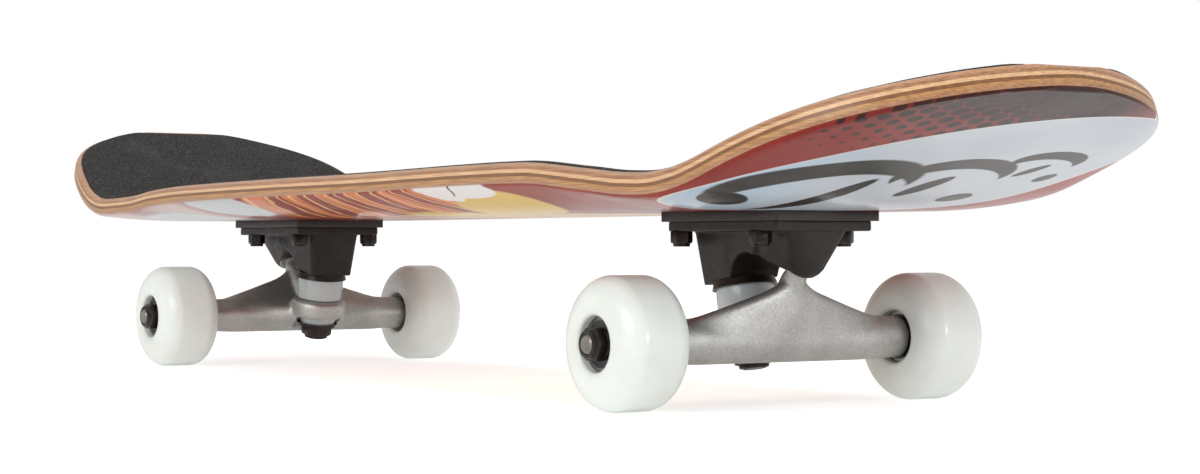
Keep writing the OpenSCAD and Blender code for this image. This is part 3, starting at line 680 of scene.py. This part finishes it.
PLY_SLOTS = ["painted_ply", "maple_tan", "maple_gold", "maple_amber", "maple_cream", "maple_tan", "maple_top"]
for number, slot_name in enumerate(PLY_SLOTS, 1):
    steps = 6 if number in (1, 2, 6, 7) else 2
    heights = [(number - 1 + k / steps) * PLY_T for k in range(steps + 1)]
    levels = [(h, edge_inset(h)) for h in heights]
    sheet = drilled(deck_sheet(f"ply_{number}", levels, (6, 56), 26),
                    BOLT_HEAD_R if number == PLY_COUNT else BOLT_HOLE_R)
    smooth_shade(sheet, 40)
    place_piece(f"deck_ply_{number}", sheet, slot_name, "board", f"ply_{number}")

inset = edge_inset(DECK_T) + 1
grip_levels = [(DECK_T + 0.02, inset), (DECK_T + 0.25, inset + 0.2), (DECK_T + 0.6, inset + 1.4),
               (DECK_T + GRIP_T, inset + 2.8)]
grip = drilled(deck_sheet("grip", grip_levels, (1.6, 90), 30, 0.16), BOLT_HEAD_R)
smooth_shade(grip, 40)
place_piece("grip_sheet", grip, "grip", "board", "grip_tape")


# ---------- Trucks ----------

def at_truck(end):
    """Moves a truck modelled at the origin to its end of the board, turned about at the nose."""
    turn = Matrix.Identity(4) if end > 0 else Matrix.Rotation(math.pi, 4, "Z")
    return Matrix.Translation(((end * PATTERN + SHIFT_X) * MM, 0, 0)) @ turn


def on_kingpin(end):
    """The frame of a truck's kingpin: origin level with the axle, Z up the pin."""
    return (at_truck(end) @ Matrix.Translation((KINGPIN_X * MM, 0, AXLE_Z * MM))
            @ Matrix.Rotation(-LEAN, 4, "Y"))


def placed(points, faces, matrix, angle=None):
    mesh = to_mesh("turned", points, faces)
    outward(mesh)
    mesh.transform(matrix)
    smooth_shade(mesh, angle)
    return mesh


def arc(cr, cz, radius, a0, a1, count):
    """Points (radius, height) along an arc, degrees."""
    return [(cr + radius * math.cos(math.radians(a0 + (a1 - a0) * i / count)),
             cz + radius * math.sin(math.radians(a0 + (a1 - a0) * i / count))) for i in range(count + 1)]


def bushing_profile(bore, low_r, high_r, low, high, bulge, edge):
    """A pressed urethane bushing: rounded rims and sides that bulge a little."""
    side = [(low_r + (high_r - low_r) * t + bulge * math.sin(math.pi * t),
             low + edge + (high - low - 2 * edge) * t) for t in [i / 14 for i in range(15)]]
    return ([(bore, high), (bore, low)] + arc(low_r - edge, low + edge, edge, -90, -8, 5) + side[1:-1]
            + arc(high_r - edge, high - edge, edge, 8, 90, 5))


def polar(r, turn):
    return r * math.cos(math.radians(turn)), r * math.sin(math.radians(turn))


def hanger_outline(y):
    """The casting's section at y: web edge, valley, arm edge and tube, as (x, z) from the axle."""
    tube = 8.8 + 0.5 * min(max((52 - abs(y)) / 10, 0), 1)
    web_height = 3.4 + 17 * max(0, 1 - abs(y) / 55) ** 1.1 + 4.5 * max(0, 1 - abs(y) / 14) ** 2
    web = max(web_height / math.sin(math.radians(WEB_TURN)), tube - WEB_R + 0.1)
    arm = max(9.3 + ARM_SPAN * max(0, 1 - abs(y) / 42) ** 1.7 - ARM_R, tube - ARM_R + 0.1)
    web_spread = math.degrees(math.acos((tube - WEB_R) / web))
    arm_spread = math.degrees(math.acos((tube - ARM_R) / arm))
    inboard, upper = WEB_TURN + web_spread, ARM_TURN - arm_spread
    hollow = inboard > upper
    valley = (tube + VALLEY_R) / math.cos(math.radians((inboard - upper) / 2)) if hollow else 0

    def bow(centre_r, centre_turn, r, a0, a1, count):
        return arc(*polar(centre_r, centre_turn), r, a0, a1, count)
    return (bow(web, WEB_TURN, WEB_R, WEB_TURN - web_spread, inboard, 16)
            + bow(valley, (inboard + upper) / 2, -VALLEY_R if hollow else tube, inboard, upper, 8)
            + bow(arm, ARM_TURN, ARM_R, upper, ARM_TURN + arm_spread, 12)
            + bow(0, 0, tube, ARM_TURN + arm_spread, 360 + WEB_TURN - web_spread, 36))


# The casting's two edges as seen from the axle: degrees, edge radius; then the hollow between them
WEB_TURN, WEB_R, ARM_TURN, ARM_R, VALLEY_R, ARM_SPAN = 67.5, 3.3, 178, 5.4, 4, 24
# Heights on the kingpin's axis: the ring's seats and lower face, the baseplate's boss, the lower washer
SEAT_LOW, SEAT_HIGH, RING_LOW, BOSS, ROADSIDE_WASHER = 4.0, 9.2, -0.5, 24.0, -4.3
PIVOT = (25.5, 57.5, math.radians(28))


def hanger_mesh():
    """The hanger: loft, ring and pivot fused with soft fillets, then bored for the axle and kingpin."""
    rows = np.linspace(-HALF_HANGER, HALF_HANGER, 112)
    outlines = [hanger_outline(y) for y in rows]
    n = len(outlines[0])
    points = [(x + AXLE_X, y, z + AXLE_Z) for y, section in zip(rows, outlines) for x, z in section]
    faces = [(i * n + j, i * n + (j + 1) % n, (i + 1) * n + (j + 1) % n, (i + 1) * n + j)
             for i in range(len(rows) - 1) for j in range(n)]
    faces += [tuple(range(n - 1, -1, -1)), tuple(range((len(rows) - 1) * n, len(rows) * n))]
    kingpin = Matrix.Translation((KINGPIN_X * MM, 0, AXLE_Z * MM)) @ Matrix.Rotation(-LEAN, 4, "Y")
    pivot = Matrix.Translation((PIVOT[0] * MM, 0, PIVOT[1] * MM)) @ Matrix.Rotation(PIVOT[2], 4, "Y")
    ring = ([(0.01, RING_LOW)] + arc(12.9, RING_LOW + 2.3, 2.3, -90, 0, 5)
            + arc(12.2, SEAT_HIGH - 3, 3, 0, 90, 6) + [(0.01, SEAT_HIGH)])
    neck = ([(0.01, 5.2)] + arc(0, 0, 5.2, 85, -40, 12)
            + [(4.7, -5), (5.0, -8), (5.6, -12), (5.6, -16), (3.5, -21), (0.01, -22)])
    rib = [(0.01, -2), (4.2, -1), (5.0, 3), (5.0, 20), (4.2, 24), (0.01, 25)]
    rib_place = Matrix.Translation((9 * MM, 0, 35 * MM)) @ Matrix.Rotation(math.radians(38), 4, "Y")
    bm = bmesh.new()
    for shape, matrix in (((points, faces), Matrix.Identity(4)), (lathe(ring, 96), kingpin),
                          (lathe(neck, 72), pivot), (lathe(rib, 72), rib_place)):
        bm.from_mesh(placed(*shape, matrix))
    fused = bpy.data.meshes.new("hanger")
    bm.to_mesh(fused)
    bm.free()
    fused = applied(fused, [("REMESH", {"mode": "VOXEL", "voxel_size": 0.7 * MM}),
                            ("SMOOTH", {"factor": 0.5, "iterations": 16})])
    cuts = bmesh.new()
    axle = Matrix.Translation((AXLE_X * MM, 0, AXLE_Z * MM)) @ Matrix.Rotation(math.pi / 2, 4, "X")
    bores = ((kingpin, 7.6, -30, 30), (kingpin, 14.2, SEAT_HIGH, SEAT_HIGH + 13),
             (kingpin, 13.2, SEAT_LOW - 20, SEAT_LOW), (axle, 3.97, -90, 90))
    for matrix, radius, low, high in bores:
        bmesh.ops.create_cone(cuts, cap_ends=True, segments=96, radius1=radius * MM, radius2=radius * MM,
                              depth=(high - low) * MM,
                              matrix=matrix @ Matrix.Translation((0, 0, (high + low) / 2 * MM)))
    cutter = bpy.data.objects.new("cutter", bpy.data.meshes.new("cutter"))
    cuts.to_mesh(cutter.data)
    cuts.free()
    bpy.context.scene.collection.objects.link(cutter)
    mesh = applied(fused, [("BOOLEAN", {"operation": "DIFFERENCE", "object": cutter, "solver": "EXACT",
                                        "use_self": True}),
                           ("REMESH", {"mode": "VOXEL", "voxel_size": 0.5 * MM}),
                           ("SMOOTH", {"factor": 0.5, "iterations": 3})])
    bpy.data.objects.remove(cutter)
    smooth_shade(mesh)
    return mesh


hanger_cast = hanger_mesh()


for end_name, end in ENDS.items():
    hanger_body = f"{end_name}_hanger_assembly"
    place_piece(f"{end_name}_riser", bevelled_copy(f"{end_name}_riser_pad", 0.5, 3), "riser_plastic",
                "board", f"{end_name}_riser_pad")
    place_piece(f"{end_name}_baseplate_cast", cast_copy(f"{end_name}_baseplate", 0.5, 3), "black_casting",
                "board", f"{end_name}_baseplate")
    own_cast = hanger_cast.copy()
    own_cast.transform(at_truck(end))
    place_piece(f"{end_name}_hanger_cast", own_cast, "cast_hanger", hanger_body, f"{end_name}_hanger")
    place_piece(f"{end_name}_deck_nuts", bevelled_copy(f"{end_name}_truck_nuts", 0.35), "black_steel",
                "board", f"{end_name}_truck_nuts")
    place_piece(f"{end_name}_king_nut", bevelled_copy(f"{end_name}_kingpin_nut", 0.5), "black_steel",
                "board", f"{end_name}_kingpin_nut")
    place_piece(f"{end_name}_end_nuts", bevelled_copy(f"{end_name}_axle_nuts", 0.35), "black_steel",
                hanger_body, f"{end_name}_axle_nuts")

    # Bushings, turned round the kingpin and attached to neither body
    top, bottom = BOSS - 1.5, SEAT_HIGH + 0.2
    frame_matrix = on_kingpin(end)
    for part, profile, fixed, moving in (
            ("boardside", bushing_profile(4.85, 12, 12, bottom, top - 0.02, 0.25, 1.1), top, bottom),
            ("roadside", bushing_profile(4.85, 9.4, 10.4, ROADSIDE_WASHER, SEAT_LOW - 0.2, 0.2, 0.9),
             ROADSIDE_WASHER, SEAT_LOW)):
        mesh = placed(*lathe(profile, 96), frame_matrix, 50)
        obj = place_piece(f"{end_name}_{part}_urethane", mesh, "bushing_urethane", None,
                          f"{end_name}_{part}_bushing")
        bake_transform(obj)


# ---------- Wheels ----------

def wheel_profile():
    """Shoulder as a superellipse quarter, flat face, the bore's lip, the bearing seats and the core."""
    bend = 2 / 1.8
    half = [(16.5 + 10 * math.cos(a) ** bend, 7 + 9 * math.sin(a) ** bend)
            for a in np.radians(np.linspace(0, 89.5, 30))]
    half += [(14.5, 15.97), (13.0, 15.9), (12.3, 15.75), (11.8, 15.5), (11.4, 15.2), (11.15, 14.9),
             (11.0, 14.5), (11.0, 12.5), (11.0, 5.2), (10.8, 5.0), (8.6, 5.0), (8.4, 4.8)]
    return half + [(r, -z) for r, z in reversed(half)]


for end_name, end in ENDS.items():
    for side_name, side in SIDES.items():
        name = f"{end_name}_{side_name}"
        centre = Vector((end * (PATTERN + AXLE_X) + SHIFT_X, side * WHEEL_Y, AXLE_Z)) * MM
        matrix = Matrix.Translation(centre) @ Matrix.Rotation(-side * math.pi / 2, 4, "X")
        mesh = placed(*lathe(wheel_profile(), 180), matrix, 60)
        place_piece(f"{name}_tyre", mesh, "wheel_urethane", f"{name}_wheel_assembly", f"{name}_wheel")


# ---------- Finishes on the CAD nodes that stay ----------

NODE_SLOTS = {
    "pivot_cup": "nylon", "kingpin": "black_steel", "cup_washers": "black_steel",
    "truck_bolts": "black_steel",
    "axle": "axle_steel", "speed_washers": "axle_steel", "bearing_inner_rings": "bearing_steel",
    "bearing_spacers": "axle_steel",
}
WHEEL_SLOTS = {
    "outer_rings": "bearing_steel", "shields": "shield_black", "balls": "bearing_steel", "cages": "nylon",
}


def finish_node(name, slot_name):
    for material_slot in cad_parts[name].material_slots:
        material_slot.material = MATS[slot_name]


for end_name in ENDS:
    for part, slot_name in NODE_SLOTS.items():
        finish_node(f"{end_name}_{part}", slot_name)
    for side_name in SIDES:
        for part, slot_name in WHEEL_SLOTS.items():
            finish_node(f"{end_name}_{side_name}_{part}", slot_name)


# ---------- Floor, light and camera ----------

def studio():
    """A white floor and world, brighter to the camera than to the board, and three soft lights."""
    g = Graph("floor_white")
    paper = g.noise(60, 3, 0.5)
    seen = g.tree.nodes.new("ShaderNodeLightPath").outputs["Is Camera Ray"]
    g.shade(Base_Color=g.mix(g.step(paper, 0.3, 0.7), rgb(240, 240, 240), rgb(244, 244, 244)),
            Roughness=0.9, Specular_IOR_Level=0.1, Emission_Color=(1, 1, 1, 1),
            Emission_Strength=g.step(seen, 0, 1, 0.22, 0.56))
    mesh = bpy.data.meshes.new("floor")
    mesh.from_pydata([(-8, -8, 0), (8, -8, 0), (8, 8, 0), (-8, 8, 0)], [], [(0, 1, 2, 3)])
    mesh.materials.append(g.mat)
    floor = bpy.data.objects.new("floor", mesh)
    bpy.context.scene.collection.objects.link(floor)
    world = bpy.data.worlds.new("studio")
    bpy.context.scene.world = world
    world.use_nodes = True
    tree = world.node_tree
    path = tree.nodes.new("ShaderNodeLightPath")
    level = tree.nodes.new("ShaderNodeMapRange")
    level.inputs["To Min"].default_value = 0.62
    level.inputs["To Max"].default_value = 1.0
    tree.links.new(path.outputs["Is Camera Ray"], level.inputs["Value"])
    tree.nodes["Background"].inputs[0].default_value = (1, 1, 1, 1)
    tree.links.new(level.outputs[0], tree.nodes["Background"].inputs[1])

    def area(name, place, aim, size, power):
        data = bpy.data.lights.new(name, "AREA")
        data.shape = "RECTANGLE"
        data.size, data.size_y = size
        data.energy = power
        obj = bpy.data.objects.new(name, data)
        obj.location = place
        obj.rotation_euler = (Vector(aim) - Vector(place)).to_track_quat("-Z", "Y").to_euler()
        bpy.context.scene.collection.objects.link(obj)
    area("key", (0.6, -1.8, 0.9), (0, 0, 0.05), (1.2, 0.8), 12)
    area("top", (0.0, 0.1, 2.0), (0, 0, 0), (1.6, 1.6), 9)
    area("side", (1.9, 0.35, 0.35), (0.2, 0, 0.05), (0.5, 0.25), 5)


def camera():
    """Low down off the tail's left side, turned from +Y towards the nose."""
    data = bpy.data.cameras.new("camera")
    data.sensor_fit = "HORIZONTAL"
    data.sensor_width = 36
    data.lens = 72.36
    data.clip_start = 0.01
    obj = bpy.data.objects.new("camera", data)
    turn, tilt = math.radians(56.848), math.radians(0.2)
    ahead = Vector((-math.sin(turn) * math.cos(tilt), math.cos(turn) * math.cos(tilt), math.sin(tilt)))
    right = Vector((math.cos(turn), math.sin(turn), 0))
    up = right.cross(ahead)
    matrix = Matrix((right, up, -ahead)).transposed().to_4x4()
    matrix.translation = (0.99199 + SHIFT_X * MM, -0.59264, 0.06438)
    obj.matrix_world = matrix
    bpy.context.scene.collection.objects.link(obj)
    bpy.context.scene.camera = obj


studio()
camera()
scene = bpy.context.scene
scene.view_settings.view_transform = "Standard"
scene.view_settings.look = "None"
